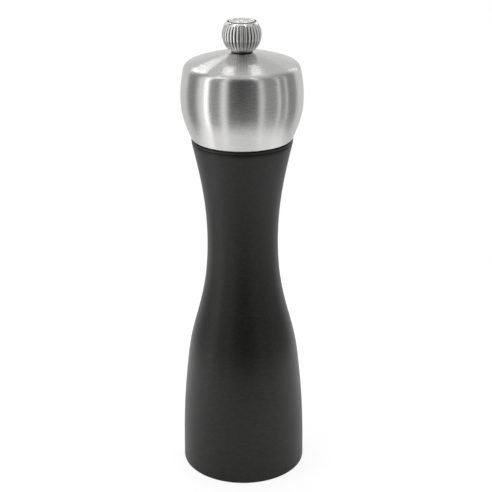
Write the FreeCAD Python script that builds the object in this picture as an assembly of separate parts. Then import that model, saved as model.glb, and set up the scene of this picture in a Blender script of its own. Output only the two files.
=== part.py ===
"""A tall turned pepper mill with a steel head and a knob that sets the grind.

The frame's origin is the centre of the foot, +Z is up, and every size is in millimetres.
The mill stands 200 mm tall. The head, the square shaft and the grinding cone turn together about Z.
The knob on the shaft's thread pulls the cone up into the toothed ring, which makes the grind finer.
The model is drawn at the coarse setting, with the cone at its lowest.
"""

import FreeCAD
import Part

import math
import os

V = FreeCAD.Vector
UP = V(0, 0, 1)
ORIGIN = V(0, 0, 0)

# Overall heights
TOTAL_HEIGHT = 200.0
BODY_TOP = 149.7
HEAD_BOTTOM = 151.2
SHOULDER_HEIGHT = 183.05
HEAD_TOP = 187.2
KNOB_BOTTOM = 187.7

# Turned outline of the wooden body: (radius, height), a smooth curve through these points
FOOT_RADIUS = 27.05
WAIST_RADIUS = 15.15
NECK_RADIUS = 21.2
FOOT_ROUNDING = 0.7
BODY_OUTLINE = [
    (FOOT_RADIUS, FOOT_ROUNDING),
    (26.87, 14.0),
    (26.2, 30.0),
    (24.9, 45.0),
    (22.8, 60.0),
    (18.95, 75.0),
    (16.05, 90.0),
    (WAIST_RADIUS, 105.0),
    (15.85, 120.0),
    (18.05, 135.0),
    (NECK_RADIUS - 0.1, BODY_TOP - 0.5),
]
NECK_EDGE_BEVEL = 0.4

# Bores in the body, from the foot up
RECESS_RADIUS = 22.6
RECESS_DEPTH = 2.6
HOUSING_BORE_RADIUS = 17.0
HOUSING_TOP = 32.0
CHAMBER_RADIUS = 11.5
SOCKET_RADIUS = 14.4
SOCKET_FLOOR = 133.5

# Head: a spun steel shell over a moulded core
SHELL_WALL = 0.9
SHELL_RIM_RADIUS = 21.1
SHELL_SIDE = [
    (SHELL_RIM_RADIUS, HEAD_BOTTOM),
    (23.35, 157.0),
    (24.95, 163.0),
    (25.38, 168.0),
    (25.0, 175.0),
    (24.2, 179.8),
]
SHOULDER_RADIUS = 21.4
SHELL_CROWN = [
    (SHOULDER_RADIUS, SHOULDER_HEIGHT),
    (19.0, 183.85),
    (15.0, 185.05),
    (10.5, 186.25),
    (6.0, HEAD_TOP),
]
SHOULDER_FULLNESS = 0.62
INNER_SHOULDER_FULLNESS = 0.35
SHELL_HOLE_RADIUS = 3.4
SPIGOT_RADIUS = 14.0
SPIGOT_WALL = 2.0
SPIGOT_BOTTOM = 135.0
CORE_FLOOR_THICKNESS = 6.0
CORE_FLANGE_BOTTOM = 151.0
CORE_FLANGE_RADIUS = 20.1
CORE_FLANGE_THICKNESS = 1.8
COLUMN_RADIUS = 7.0
COLUMN_BORE_RADIUS = 4.6
COLUMN_TOP = 184.95
CROWN_WASHER_RADIUS = 6.8
CROWN_WASHER_THICKNESS = 1.05
RIB_COUNT = 6
RIB_THICKNESS = 1.6
RIB_TOP = 168.0
RIB_TIP_RADIUS = 18.5

# Neck ring between the body and the head
NECK_RING_BOTTOM = BODY_TOP
NECK_RING_TOP = 150.85
NECK_RING_BORE = SOCKET_RADIUS + 0.2
NECK_RING_EDGE = 0.3
NECK_GROOVE_DEPTH = 0.8

# Square shaft with a threaded end
SHAFT_SIDE = 6.0
SHAFT_CORNER_RADIUS = 4.0
SHAFT_BOTTOM = 1.9
SQUARE_TOP = 174.0
SHAFT_TOP = 196.0
SHAFT_TIP_RADIUS = 2.8
SHAFT_NECK_RADIUS = 2.95
THREAD_START = 177.0
THREAD_CHAMFER = 0.4
THREAD_RADIUS = 2.5
THREAD_ROOT_RADIUS = 2.06
THREAD_PITCH = 0.8
RUNNING_GAP = 0.08

# Grinding set
RING_RADIUS = 14.5
RING_BOTTOM = 2.6
RING_TOP = 15.0
FINE_ZONE_TOP = 7.4
CONE_BOTTOM = 3.0
CONE_TOP = 15.0
CONE_FINE_TEETH = 30
CONE_COARSE_TEETH = 6
RING_FINE_TEETH = 36
RING_COARSE_TEETH = 8
TOOTH_LEAN = 0.35
# Sections of the teeth: (height, tip radius, root radius, twist in degrees)
CONE_FINE_SECTIONS = [
    (CONE_BOTTOM, 10.65, 9.75, 0.0),
    (5.2, 10.05, 9.15, 5.0),
    (FINE_ZONE_TOP, 9.42, 8.6, 10.0),
]
CONE_COARSE_SECTIONS = [
    (FINE_ZONE_TOP - 0.4, 9.3, 6.4, 0.0),
    (10.0, 8.5, 5.9, 25.0),
    (12.6, 7.6, 5.5, 50.0),
    (CONE_TOP, 6.6, 5.3, 72.0),
]
RING_FINE_SECTIONS = [
    (RING_BOTTOM - 0.5, 12.2, 11.35, 0.0),
    (5.2, 11.5, 10.65, -5.0),
    (FINE_ZONE_TOP, 10.9, 10.02, -10.0),
]
RING_COARSE_SECTIONS = [
    (FINE_ZONE_TOP - 0.6, 11.2, 9.9, 0.0),
    (11.0, 12.2, 9.8, -16.0),
    (RING_TOP + 0.5, 13.2, 9.7, -32.0),
]
CONE_BORE_CLEARANCE = 0.1
LUG_COUNT = 3
LUG_START = 30.0
LUG_DEPTH = 1.2
LUG_ROOT = 1.8
LUG_WIDTH = 3.0
LUG_HEIGHT = 4.0
HOUSING_CLEARANCE = 0.1
HOUSING_THROAT_RADIUS = 11.8
HOUSING_FUNNEL = [(11.8, 25.0), (12.6, 18.0), (13.3, RING_TOP)]
SPIDER_BOTTOM = 29.0
HUB_RADIUS = 7.0
HUB_BOTTOM = 26.0
BUSH_RADIUS = 5.4
BUSH_FLANGE_RADIUS = 6.6
BUSH_FLANGE_THICKNESS = 1.0
ARM_COUNT = 3
ARM_START = 90.0
ARM_WIDTH = 4.0
ARM_OVERLAP = 0.6
THRUST_WASHER_TOP = HUB_BOTTOM - BUSH_FLANGE_THICKNESS - 0.05
THRUST_WASHER_BOTTOM = THRUST_WASHER_TOP - 0.9
SPRING_MEAN_RADIUS = 5.1
SPRING_WIRE = 0.9
SPRING_WIRE_SIDES = 12
SPRING_TURNS = 4.5
SPRING_SEAT_RADIUS = 6.1
SPRING_SEAT_TOP = CONE_TOP + 0.7
CONE_WASHER_RADIUS = 5.4
CONE_WASHER_BOTTOM = CONE_BOTTOM - 0.5
CLIP_RADIUS = 4.4
CLIP_GROOVE_RADIUS = 2.3
CLIP_GROOVE_TOP = CONE_WASHER_BOTTOM
CLIP_GROOVE_BOTTOM = CLIP_GROOVE_TOP - 0.3
CLIP_MOUTH = 3.6
CLIP_EAR_RADIUS = 0.9
CLIP_EAR_ANGLE = 70.0

# Base plate and its wood screws
PLATE_RADIUS = 22.4
PLATE_BOTTOM = RECESS_DEPTH - 1.2
PLATE_MOUTH_RADIUS = 12.6
BASE_SCREW_COUNT = 3
BASE_SCREW_START = 90.0
BASE_SCREW_CIRCLE = 19.2
BASE_SCREW_HEAD = 2.5
BASE_SCREW_SHANK = 1.4
BASE_SCREW_TIP = 14.0
BASE_SCREW_HEAD_DEPTH = 1.1
BASE_SCREW_POINT = 3.0
BASE_RECESS_WIDTH = 0.5
BASE_RECESS_LENGTH = 2.8
BASE_RECESS_DEPTH = 0.8

# Drive plate under the head's core, and its screws
DRIVE_PLATE_RADIUS = 11.0
DRIVE_PLATE_TOP = SPIGOT_BOTTOM + 1.5
SQUARE_CLEARANCE = 0.25
DRIVE_SCREW_COUNT = 3
DRIVE_SCREW_START = 30.0
DRIVE_SCREW_CIRCLE = 8.0
DRIVE_SCREW_HEAD = 1.7
DRIVE_SCREW_SHANK = 0.95
DRIVE_SCREW_LENGTH = 5.4
DRIVE_SCREW_HEAD_DEPTH = 0.9
DRIVE_SCREW_POINT = 0.8
DRIVE_RECESS_WIDTH = 0.4
DRIVE_RECESS_LENGTH = 1.9
DRIVE_RECESS_DEPTH = 0.6

# Knob
KNOB_SPHERE_RADIUS = 8.12
KNOB_CENTRE = 194.35
KNOB_TOP = 199.75
KNOB_FOOT_RADIUS = 4.45
KNOB_FOOT_TOP = 188.7
REED_COUNT = 32
REED_RADIUS = 0.85
REED_TOP = 198.9
KNOB_BORE_RADIUS = 3.7
CAP_RADIUS = 5.45
CAP_SEAT = 198.7
CAP_GROOVE = 0.4
CAP_FIELD = TOTAL_HEIGHT - 0.35
BEAD_RADIUS = 1.2
BEAD_CIRCLE = 1.75
BEAD_TOP = TOTAL_HEIGHT - 0.05
COLLAR_RADIUS = 4.4
COLLAR_STEM_RADIUS = 3.3
COLLAR_STEM_LENGTH = 2.0
COLLAR_BORE_RADIUS = 2.8
COLLAR_GAP = 0.05


def point(radius, height):
    return V(radius, 0, height)


def line(a, b):
    return Part.LineSegment(point(*a), point(*b)).toShape()


def arc(a, middle, b):
    return Part.Arc(point(*a), point(*middle), point(*b)).toShape()


def spline(points):
    curve = Part.BSplineCurve()
    curve.interpolate([point(*p) for p in points])
    return curve.toShape()


def turn(edges):
    """A solid turned about Z from a closed outline of edges in the XZ plane."""
    face = Part.Face(Part.Wire(Part.__sortEdges__(edges)))
    return face.revolve(ORIGIN, UP, 360)


def turned(points):
    """A solid turned from a closed outline of straight lines through (radius, height) points."""
    closed = points + points[:1]
    return turn([line(a, b) for a, b in zip(closed, closed[1:])])


def tube(outer, inner, bottom, top):
    return turned([(inner, bottom), (outer, bottom), (outer, top), (inner, top)])


def cylinder(radius, bottom, top, x=0.0, y=0.0):
    return Part.makeCylinder(radius, top - bottom, V(x, y, bottom))


def square_bar(side, bottom, top):
    return Part.makeBox(side, side, top - bottom, V(-side / 2, -side / 2, bottom))


def spaced(count, start=0.0):
    """Angles in degrees, evenly round the axis."""
    return [start + 360.0 * i / count for i in range(count)]


def spun(shape, angle):
    copy = shape.copy()
    copy.rotate(ORIGIN, UP, angle)
    return copy


def pattern(shape, count, start=0.0):
    """Copies of a shape evenly round the axis, as a list."""
    return [spun(shape, a) for a in spaced(count, start)]


def inset(points, distance):
    """An open outline moved inwards, at right angles to its own direction."""
    moved = []
    for i, (r, z) in enumerate(points):
        before = points[max(i - 1, 0)]
        after = points[min(i + 1, len(points) - 1)]
        dr = after[0] - before[0]
        dz = after[1] - before[1]
        length = math.hypot(dr, dz)
        moved.append((r - distance * dz / length, z + distance * dr / length))
    return moved


def save(name, *solids):
    shape = solids[0] if len(solids) == 1 else Part.makeCompound(list(solids))
    for solid in shape.Solids:
        assert solid.isValid(), name + " is not a valid solid"
    shape.exportStep("parts/" + name + ".step")
    print(name, len(shape.Solids), "solid(s)", round(shape.Volume, 1), "mm3")


# ---- body and neck ring ----


def body():
    """Turned wooden body with the stepped bore that holds the grinding set and the peppercorns."""
    foot_flat = (FOOT_RADIUS - FOOT_ROUNDING, 0.0)
    foot_start = BODY_OUTLINE[0]
    bulge = FOOT_ROUNDING * (1 - math.sqrt(0.5))
    neck_end = BODY_OUTLINE[-1]
    neck_flat = (NECK_RADIUS - NECK_EDGE_BEVEL, BODY_TOP)
    inside = [
        neck_flat,
        (SOCKET_RADIUS, BODY_TOP),
        (SOCKET_RADIUS, SOCKET_FLOOR),
        (CHAMBER_RADIUS, SOCKET_FLOOR - (SOCKET_RADIUS - CHAMBER_RADIUS)),
        (CHAMBER_RADIUS, HOUSING_TOP + 0.2),
        (HOUSING_BORE_RADIUS, HOUSING_TOP + 0.2),
        (HOUSING_BORE_RADIUS, RECESS_DEPTH),
        (RECESS_RADIUS, RECESS_DEPTH),
        (RECESS_RADIUS, 0.0),
        foot_flat,
    ]
    edges = [
        arc(foot_flat, (FOOT_RADIUS - bulge, bulge), foot_start),
        spline(BODY_OUTLINE),
        line(neck_end, neck_flat),
    ]
    edges += [line(a, b) for a, b in zip(inside, inside[1:])]
    solid = turn(edges)
    pilot = cylinder(BASE_SCREW_SHANK, RECESS_DEPTH - 1.0, BASE_SCREW_TIP, BASE_SCREW_CIRCLE)
    for hole in pattern(pilot, BASE_SCREW_COUNT, BASE_SCREW_START):
        solid = solid.cut(hole)
    return solid


def neck_ring():
    """Black glide ring on the body's top, with a rounded edge above a fine groove."""
    outer = NECK_RADIUS
    middle = (NECK_RING_BOTTOM + NECK_RING_TOP) / 2
    groove = (outer - NECK_GROOVE_DEPTH, NECK_RING_BOTTOM)
    lower = (outer - NECK_RING_EDGE, NECK_RING_BOTTOM + NECK_RING_EDGE)
    upper = (outer - NECK_RING_EDGE, NECK_RING_TOP)
    edges = [
        line((NECK_RING_BORE, NECK_RING_BOTTOM), groove),
        line(groove, lower),
        arc(lower, (outer, middle + NECK_RING_EDGE / 2), upper),
        line(upper, (NECK_RING_BORE, NECK_RING_TOP)),
        line((NECK_RING_BORE, NECK_RING_TOP), (NECK_RING_BORE, NECK_RING_BOTTOM)),
    ]
    return turn(edges)


# ---- grinding set ----


def toothed_wire(teeth, tip, root, height, twist):
    """A closed sawtooth outline: each tooth rises gently to its tip and drops back steeply."""
    points = []
    for i in range(teeth):
        start = twist + 360.0 * i / teeth
        for radius, share in ((tip, 0.0), (root, TOOTH_LEAN)):
            angle = math.radians(start + share * 360.0 / teeth)
            points.append(V(radius * math.cos(angle), radius * math.sin(angle), height))
    return Part.makePolygon(points + points[:1])


def toothed_solid(teeth, sections):
    """Helical teeth through sections of (height, tip radius, root radius, twist in degrees)."""
    wires = [toothed_wire(teeth, tip, root, z, twist) for z, tip, root, twist in sections]
    return Part.makeLoft(wires, True, True)


def grinding_cone():
    """Steel cone that widens downwards: fine teeth at the bottom, coarse feed ridges above."""
    fine = toothed_solid(CONE_FINE_TEETH, CONE_FINE_SECTIONS)
    coarse = toothed_solid(CONE_COARSE_TEETH, CONE_COARSE_SECTIONS)
    solid = fine.fuse(coarse).removeSplitter()
    bore = square_bar(SHAFT_SIDE + CONE_BORE_CLEARANCE, CONE_BOTTOM - 1, CONE_TOP + 1)
    return solid.cut(bore)


def burr_ring():
    """Steel ring around the cone, with inside teeth and three lugs that stop it turning."""
    fine = toothed_solid(RING_FINE_TEETH, RING_FINE_SECTIONS)
    coarse = toothed_solid(RING_COARSE_TEETH, RING_COARSE_SECTIONS)
    blank = cylinder(RING_RADIUS, RING_BOTTOM, RING_TOP)
    for lug in pattern(lug_block(0.0), LUG_COUNT, LUG_START):
        blank = blank.fuse(lug)
    return blank.cut(fine).cut(coarse).removeSplitter()


def lug_block(gap):
    """A lug on the ring's outside at angle 0, larger by the gap for the notch that holds it."""
    corner = V(RING_RADIUS - LUG_ROOT, -LUG_WIDTH / 2 - gap, RING_BOTTOM - gap)
    length = LUG_ROOT + LUG_DEPTH + gap
    return Part.makeBox(length, LUG_WIDTH + 2 * gap, LUG_HEIGHT + 2 * gap, corner)


def burr_housing():
    """Moulded housing pushed up into the body: it seats the burr ring and carries the shaft's hub."""
    outer = HOUSING_BORE_RADIUS - HOUSING_CLEARANCE
    seat = RING_RADIUS + HOUSING_CLEARANCE
    outside = [(seat, RECESS_DEPTH), (outer, RECESS_DEPTH), (outer, HOUSING_TOP)]
    throat = [(HOUSING_THROAT_RADIUS, HOUSING_TOP)]
    shell = turned(outside + throat + HOUSING_FUNNEL + [(seat, RING_TOP)])
    hub = tube(HUB_RADIUS, BUSH_RADIUS, HUB_BOTTOM, HOUSING_TOP)
    solid = shell.fuse(hub)
    arm_start = V(HUB_RADIUS - ARM_OVERLAP, -ARM_WIDTH / 2, SPIDER_BOTTOM)
    arm_length = HOUSING_THROAT_RADIUS - HUB_RADIUS + 2 * ARM_OVERLAP
    arm = Part.makeBox(arm_length, ARM_WIDTH, HOUSING_TOP - SPIDER_BOTTOM, arm_start)
    for piece in pattern(arm, ARM_COUNT, ARM_START):
        solid = solid.fuse(piece)
    for notch in pattern(lug_block(HOUSING_CLEARANCE), LUG_COUNT, LUG_START):
        solid = solid.cut(notch)
    return solid.removeSplitter()


def shaft_bush():
    """Flanged bush in the housing's hub. The shaft's rounded corners run in it."""
    bore = SHAFT_CORNER_RADIUS + RUNNING_GAP
    return turned(
        [
            (bore, HUB_BOTTOM - BUSH_FLANGE_THICKNESS),
            (BUSH_FLANGE_RADIUS, HUB_BOTTOM - BUSH_FLANGE_THICKNESS),
            (BUSH_FLANGE_RADIUS, HUB_BOTTOM),
            (BUSH_RADIUS, HUB_BOTTOM),
            (BUSH_RADIUS, HOUSING_TOP + 0.1),
            (bore, HOUSING_TOP + 0.1),
        ]
    )


def thrust_washer():
    """Square-holed washer above the spring. It turns with the shaft against the bush's flange."""
    disc = cylinder(BUSH_FLANGE_RADIUS, THRUST_WASHER_BOTTOM, THRUST_WASHER_TOP)
    return disc.cut(square_hole(THRUST_WASHER_BOTTOM, THRUST_WASHER_TOP))


def square_hole(bottom, top):
    return square_bar(SHAFT_SIDE + SQUARE_CLEARANCE, bottom - 1, top + 1)


def spring():
    """Compression spring that pushes the cone down, away from the ring. Its wire has flat sides."""
    clear = SPRING_WIRE / 2 + 0.02
    height = THRUST_WASHER_BOTTOM - SPRING_SEAT_TOP - 2 * clear
    helix = Part.makeHelix(height / SPRING_TURNS, height, SPRING_MEAN_RADIUS)
    wire = Part.Wire(helix.Edges)
    section = []
    for angle in spaced(SPRING_WIRE_SIDES):
        across = SPRING_WIRE / 2 * math.cos(math.radians(angle))
        along = SPRING_WIRE / 2 * math.sin(math.radians(angle))
        section.append(point(SPRING_MEAN_RADIUS + across, along))
    coil = wire.makePipeShell([Part.makePolygon(section + section[:1])], True, True)
    coil.translate(V(0, 0, SPRING_SEAT_TOP + clear))
    return coil


def spring_seat():
    """Cup washer on the cone's top that centres the spring."""
    disc = cylinder(SPRING_SEAT_RADIUS, CONE_TOP, SPRING_SEAT_TOP)
    return disc.cut(square_hole(CONE_TOP, SPRING_SEAT_TOP))


# ---- shaft ----


def drive_shaft():
    """Steel shaft: square for nearly its whole length, threaded above, with a clip groove below."""
    square = square_bar(SHAFT_SIDE, CONE_WASHER_BOTTOM, SQUARE_TOP)
    square = square.common(cylinder(SHAFT_CORNER_RADIUS, 0, SQUARE_TOP + 1))
    tip = cylinder(SHAFT_TIP_RADIUS, SHAFT_BOTTOM, CLIP_GROOVE_BOTTOM)
    groove = cylinder(CLIP_GROOVE_RADIUS, CLIP_GROOVE_BOTTOM - 0.1, CLIP_GROOVE_TOP + 0.1)
    neck = turned(
        [
            (0, SQUARE_TOP - 0.5),
            (SHAFT_NECK_RADIUS, SQUARE_TOP - 0.5),
            (SHAFT_NECK_RADIUS, SQUARE_TOP),
            (THREAD_ROOT_RADIUS, SQUARE_TOP + 1.2),
            (THREAD_ROOT_RADIUS, THREAD_START),
            (0, THREAD_START),
        ]
    )
    solid = square.fuse([tip, groove, neck, threaded_end()])
    return solid.removeSplitter()


def threaded_end():
    """Threaded end as a turned rack of ridges at the thread's pitch, chamfered at the tip."""
    ridges = int((SHAFT_TOP - THREAD_CHAMFER - THREAD_START) / THREAD_PITCH)
    outline = [(0, THREAD_START), (THREAD_ROOT_RADIUS, THREAD_START)]
    for i in range(ridges):
        z = THREAD_START + i * THREAD_PITCH
        outline.append((THREAD_RADIUS, z + 0.4 * THREAD_PITCH))
        outline.append((THREAD_RADIUS, z + 0.55 * THREAD_PITCH))
        outline.append((THREAD_ROOT_RADIUS, z + THREAD_PITCH))
    outline += [
        (THREAD_ROOT_RADIUS, SHAFT_TOP - THREAD_CHAMFER),
        (THREAD_ROOT_RADIUS - THREAD_CHAMFER, SHAFT_TOP),
        (0, SHAFT_TOP),
    ]
    return turned(outline)


def cone_washer():
    """Flat washer between the cone and its clip."""
    disc = cylinder(CONE_WASHER_RADIUS, CONE_WASHER_BOTTOM, CONE_BOTTOM)
    return disc.cut(square_hole(CONE_WASHER_BOTTOM, CONE_BOTTOM))


def cone_clip():
    """Spring-steel clip snapped into the groove at the shaft's lower end."""
    bore = CLIP_GROOVE_RADIUS + 0.02
    ring = tube(CLIP_RADIUS, bore, CLIP_GROOVE_BOTTOM, CLIP_GROOVE_TOP)
    low = CLIP_GROOVE_BOTTOM - 1.0
    high = CLIP_GROOVE_TOP + 1.0
    mouth = Part.makeBox(2 * CLIP_RADIUS, CLIP_MOUTH, high - low, V(0, -CLIP_MOUTH / 2, low))
    notch = cylinder(CLIP_EAR_RADIUS, low, high, 0.5 - CLIP_RADIUS)
    return ring.cut([mouth, spun(notch, CLIP_EAR_ANGLE), spun(notch, -CLIP_EAR_ANGLE)])


# ---- base plate and screws ----


def base_plate():
    """Steel plate screwed into the foot's recess. It holds the grinding set up in the body."""
    solid = turned(
        [
            (PLATE_MOUTH_RADIUS, PLATE_BOTTOM),
            (PLATE_RADIUS - 0.3, PLATE_BOTTOM),
            (PLATE_RADIUS, PLATE_BOTTOM + 0.3),
            (PLATE_RADIUS, RECESS_DEPTH),
            (PLATE_MOUTH_RADIUS, RECESS_DEPTH),
        ]
    )
    for hole in pattern(screw_blank(), BASE_SCREW_COUNT, BASE_SCREW_START):
        solid = solid.cut(hole)
    return solid


def screw_blank():
    """A countersunk screw's outer shape, in place at angle 0."""
    outline = [
        (0, PLATE_BOTTOM),
        (BASE_SCREW_HEAD, PLATE_BOTTOM),
        (BASE_SCREW_SHANK, PLATE_BOTTOM + BASE_SCREW_HEAD_DEPTH),
        (BASE_SCREW_SHANK, BASE_SCREW_TIP - BASE_SCREW_POINT),
        (0, BASE_SCREW_TIP),
    ]
    blank = turned(outline)
    blank.translate(V(BASE_SCREW_CIRCLE, 0, 0))
    return blank


def base_screws():
    """Three wood screws with cross recesses."""
    recess = cross_recess(BASE_RECESS_WIDTH, BASE_RECESS_LENGTH, BASE_RECESS_DEPTH, PLATE_BOTTOM)
    recess.translate(V(BASE_SCREW_CIRCLE, 0, 0))
    return pattern(screw_blank().cut(recess), BASE_SCREW_COUNT, BASE_SCREW_START)


def cross_recess(width, length, depth, face):
    """Two crossed slots for a screwdriver, cut upwards into a screw's face."""
    slot = Part.makeBox(length, width, depth + 1, V(-length / 2, -width / 2, face - 1))
    return slot.fuse(spun(slot, 90.0))


# ---- head ----


def shoulder_middle(side_end, crown_start, outward):
    """The middle of the rounded shoulder's arc, pushed outward from the straight line between its ends."""
    middle_r = (side_end[0] + crown_start[0]) / 2
    middle_z = (side_end[1] + crown_start[1]) / 2
    dr = side_end[0] - crown_start[0]
    dz = crown_start[1] - side_end[1]
    length = math.hypot(dr, dz)
    return (middle_r + outward * dz / length, middle_z + outward * dr / length)


def head_shell():
    """Spun steel shell: barrel side, rounded shoulder and a low crown with a hole for the shaft."""
    inner_side = inset(SHELL_SIDE, SHELL_WALL)
    inner_crown = inset(SHELL_CROWN, SHELL_WALL)
    inner_rim = (inner_side[0][0], HEAD_BOTTOM)
    inner_side[0] = inner_rim
    hole_top = (SHELL_HOLE_RADIUS, HEAD_TOP)
    hole_bottom = (SHELL_HOLE_RADIUS, inner_crown[-1][1])
    shoulder = shoulder_middle(SHELL_SIDE[-1], SHELL_CROWN[0], SHOULDER_FULLNESS)
    inner_shoulder = shoulder_middle(inner_side[-1], inner_crown[0], INNER_SHOULDER_FULLNESS)
    edges = [
        spline(SHELL_SIDE),
        arc(SHELL_SIDE[-1], shoulder, SHELL_CROWN[0]),
        spline(SHELL_CROWN),
        line(SHELL_CROWN[-1], hole_top),
        line(hole_top, hole_bottom),
        line(hole_bottom, inner_crown[-1]),
        spline(inner_crown),
        arc(inner_crown[0], inner_shoulder, inner_side[-1]),
        spline(inner_side),
        line(inner_rim, SHELL_SIDE[0]),
    ]
    return turn(edges)


def head_core():
    """Moulded core: spigot that centres the head in the body, flange, ribs and a hollow column."""
    flange_top = CORE_FLANGE_BOTTOM + CORE_FLANGE_THICKNESS
    floor_top = SPIGOT_BOTTOM + CORE_FLOOR_THICKNESS
    spigot_bore = SPIGOT_RADIUS - SPIGOT_WALL
    solid = turned(
        [
            (COLUMN_BORE_RADIUS, SPIGOT_BOTTOM),
            (SPIGOT_RADIUS - 0.8, SPIGOT_BOTTOM),
            (SPIGOT_RADIUS, SPIGOT_BOTTOM + 0.8),
            (SPIGOT_RADIUS, CORE_FLANGE_BOTTOM),
            (CORE_FLANGE_RADIUS, CORE_FLANGE_BOTTOM),
            (CORE_FLANGE_RADIUS, flange_top),
            (spigot_bore, flange_top),
            (spigot_bore, floor_top),
            (COLUMN_RADIUS, floor_top),
            (COLUMN_RADIUS, COLUMN_TOP),
            (COLUMN_BORE_RADIUS, COLUMN_TOP),
        ]
    )
    rib_outline = [
        V(COLUMN_RADIUS - 0.5, 0, floor_top - 0.5),
        V(spigot_bore + 0.5, 0, floor_top - 0.5),
        V(spigot_bore + 0.5, 0, flange_top - 0.5),
        V(RIB_TIP_RADIUS, 0, flange_top - 0.5),
        V(RIB_TIP_RADIUS, 0, flange_top + 2.0),
        V(COLUMN_RADIUS - 0.5, 0, RIB_TOP),
    ]
    face = Part.Face(Part.makePolygon(rib_outline + rib_outline[:1]))
    rib = face.extrude(V(0, RIB_THICKNESS, 0))
    rib.translate(V(0, -RIB_THICKNESS / 2, 0))
    for piece in pattern(rib, RIB_COUNT, 30.0):
        solid = solid.fuse(piece)
    pocket = cylinder(DRIVE_PLATE_RADIUS + 0.1, SPIGOT_BOTTOM - 1, DRIVE_PLATE_TOP)
    solid = solid.cut(pocket)
    for hole in pattern(drive_screw_blank(), DRIVE_SCREW_COUNT, DRIVE_SCREW_START):
        solid = solid.cut(hole)
    return solid.removeSplitter()


def crown_washer():
    """Steel washer that carries the knob's clamping load from the shell's crown to the column."""
    top = COLUMN_TOP + CROWN_WASHER_THICKNESS
    return tube(CROWN_WASHER_RADIUS, COLUMN_BORE_RADIUS, COLUMN_TOP, top)


def drive_plate():
    """Steel plate with a square hole. It turns the shaft with the head."""
    disc = cylinder(DRIVE_PLATE_RADIUS, SPIGOT_BOTTOM, DRIVE_PLATE_TOP)
    solid = disc.cut(square_hole(SPIGOT_BOTTOM, DRIVE_PLATE_TOP))
    for hole in pattern(drive_screw_blank(), DRIVE_SCREW_COUNT, DRIVE_SCREW_START):
        solid = solid.cut(hole)
    return solid


def drive_screw_blank():
    """A small countersunk screw's outer shape, pointing up into the core."""
    tip = SPIGOT_BOTTOM + DRIVE_SCREW_LENGTH
    blank = turned(
        [
            (0, SPIGOT_BOTTOM),
            (DRIVE_SCREW_HEAD, SPIGOT_BOTTOM),
            (DRIVE_SCREW_SHANK, SPIGOT_BOTTOM + DRIVE_SCREW_HEAD_DEPTH),
            (DRIVE_SCREW_SHANK, tip - DRIVE_SCREW_POINT),
            (0, tip),
        ]
    )
    blank.translate(V(DRIVE_SCREW_CIRCLE, 0, 0))
    return blank


def drive_plate_screws():
    """Three small screws that hold the drive plate to the core."""
    recess = cross_recess(DRIVE_RECESS_WIDTH, DRIVE_RECESS_LENGTH, DRIVE_RECESS_DEPTH, SPIGOT_BOTTOM)
    recess.translate(V(DRIVE_SCREW_CIRCLE, 0, 0))
    return pattern(drive_screw_blank().cut(recess), DRIVE_SCREW_COUNT, DRIVE_SCREW_START)


# ---- knob ----


def knob_collar():
    """Black collar under the knob, with a stem that centres it in the head's hole."""
    seat = HEAD_TOP + COLLAR_GAP
    return turned(
        [
            (COLLAR_BORE_RADIUS, seat - COLLAR_STEM_LENGTH),
            (COLLAR_STEM_RADIUS, seat - COLLAR_STEM_LENGTH),
            (COLLAR_STEM_RADIUS, seat),
            (COLLAR_RADIUS, seat),
            (COLLAR_RADIUS, KNOB_BOTTOM - COLLAR_GAP),
            (COLLAR_BORE_RADIUS, KNOB_BOTTOM - COLLAR_GAP),
        ]
    )


def knob():
    """Ball knob with upright reeds, a plain band above them, a plain foot and a cap seat.

    One reed's wedge is made first, and the knob is that wedge repeated round the axis.
    """
    centre = V(0, 0, KNOB_CENTRE)
    ball = Part.makeSphere(KNOB_SPHERE_RADIUS, centre)
    band = ball.common(cylinder(KNOB_SPHERE_RADIUS, REED_TOP, KNOB_TOP))
    core = Part.makeSphere(KNOB_SPHERE_RADIUS - REED_RADIUS - 0.05, centre)
    reed = Part.makeTorus(KNOB_SPHERE_RADIUS - REED_RADIUS, REED_RADIUS, centre, V(0, 1, 0))
    grooved = core.fuse(reed).common(cylinder(KNOB_SPHERE_RADIUS, KNOB_BOTTOM, REED_TOP))
    foot = cylinder(KNOB_FOOT_RADIUS, KNOB_BOTTOM, KNOB_FOOT_TOP)
    solid = grooved.fuse([band, foot])
    solid = solid.cut(cylinder(KNOB_BORE_RADIUS, KNOB_BOTTOM - 1, CAP_SEAT))
    solid = solid.cut(cylinder(CAP_RADIUS + CAP_GROOVE, CAP_SEAT, KNOB_TOP + 1))
    far = 2 * KNOB_SPHERE_RADIUS
    half_width = far * math.tan(math.pi / REED_COUNT)
    corners = [V(0, 0, 0), V(far, -half_width, 0), V(far, half_width, 0), V(0, 0, 0)]
    wedge = Part.Face(Part.makePolygon(corners)).extrude(V(0, 0, TOTAL_HEIGHT))
    wedges = pattern(solid.common(wedge), REED_COUNT)
    return wedges[0].fuse(wedges[1:]).removeSplitter()


def knob_insert():
    """Brass insert with the thread that the shaft's end screws into."""
    return tube(KNOB_BORE_RADIUS, THREAD_RADIUS + RUNNING_GAP, KNOB_BOTTOM + 0.1, CAP_SEAT - 0.2)


def knob_cap():
    """Round cap let into the knob's top: a raised rim and three small beads, like peppercorns."""
    solid = turned(
        [
            (0, CAP_SEAT),
            (CAP_RADIUS, CAP_SEAT),
            (CAP_RADIUS, TOTAL_HEIGHT - 0.25),
            (CAP_RADIUS - 0.25, TOTAL_HEIGHT),
            (CAP_RADIUS - 0.8, TOTAL_HEIGHT),
            (CAP_RADIUS - 1.1, CAP_FIELD),
            (0, CAP_FIELD),
        ]
    )
    bead = Part.makeSphere(BEAD_RADIUS, V(BEAD_CIRCLE, 0, BEAD_TOP - BEAD_RADIUS))
    bead = bead.common(cylinder(CAP_RADIUS, CAP_SEAT + 0.2, TOTAL_HEIGHT))
    for piece in pattern(bead, 3, 90.0):
        solid = solid.fuse(piece)
    return solid


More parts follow.
